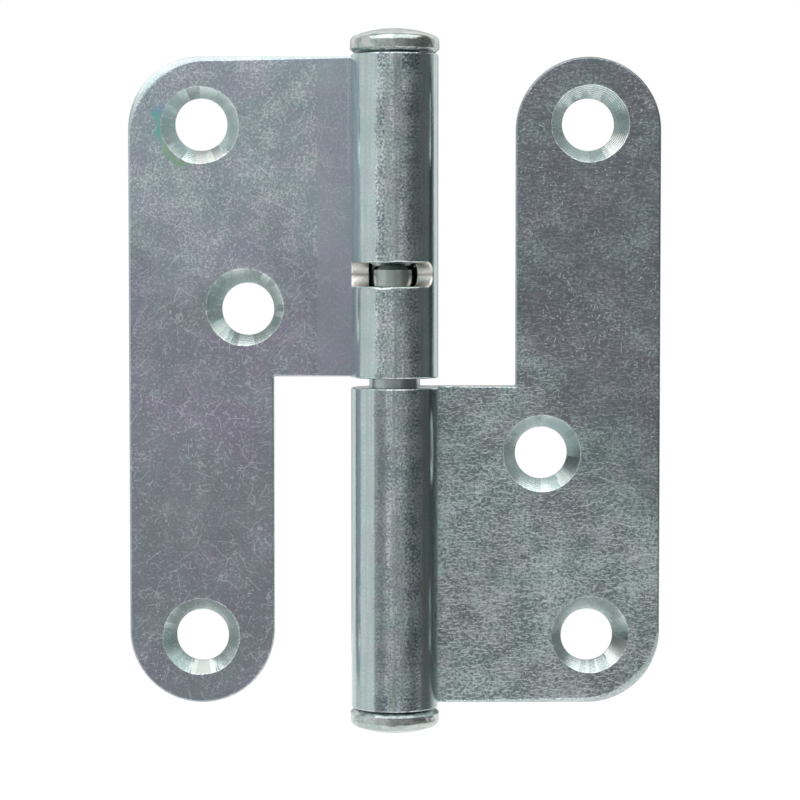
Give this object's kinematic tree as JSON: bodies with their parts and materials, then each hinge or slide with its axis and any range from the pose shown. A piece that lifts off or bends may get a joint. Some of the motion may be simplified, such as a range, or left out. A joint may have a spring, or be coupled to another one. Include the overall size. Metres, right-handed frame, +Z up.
{
  "type": "lift-off door hinge",
  "caption": "Zinc-plated lift-off door hinge: two countersunk leaves rolled into knuckles round a headed pin, the door leaf lifting off it.",
  "frame": {"origin": "on the pin's axis, half-way up the leaves, which is the middle of the whole hinge as it lies open", "axes": "+Z up the pin, towards the door leaf's knuckle; -Y is the side that the screw heads sit in; the door leaf spreads towards -X and the frame leaf towards +X"},
  "size_m": [0.0904, 0.015, 0.1186],
  "materials": {
    "door_leaf_zinc": "bright zinc plating, slightly blue, finely scratched",
    "frame_leaf_zinc": "bright zinc plating, grey, with fine rolling marks",
    "pin_zinc": "bright zinc plating, smooth"
  },
  "bodies": {
    "frame_side": {"frame_leaf": "frame_leaf_zinc"},
    "pin": {"hinge_pin": "pin_zinc"},
    "door_side": {"door_leaf": "door_leaf_zinc", "top_pin": "pin_zinc"}
  },
  "joints": [
    {"name": "swing", "type": "hinge", "parent": "frame_side", "child": "pin", "pos_m": [0, 0, 0], "axis": [0, 0, 1], "range_deg": [-135, 180]},
    {"name": "lift_off", "type": "slide", "parent": "pin", "child": "door_side", "axis": [0, 0, 1], "range_m": [0, 0.02]}
  ]
}
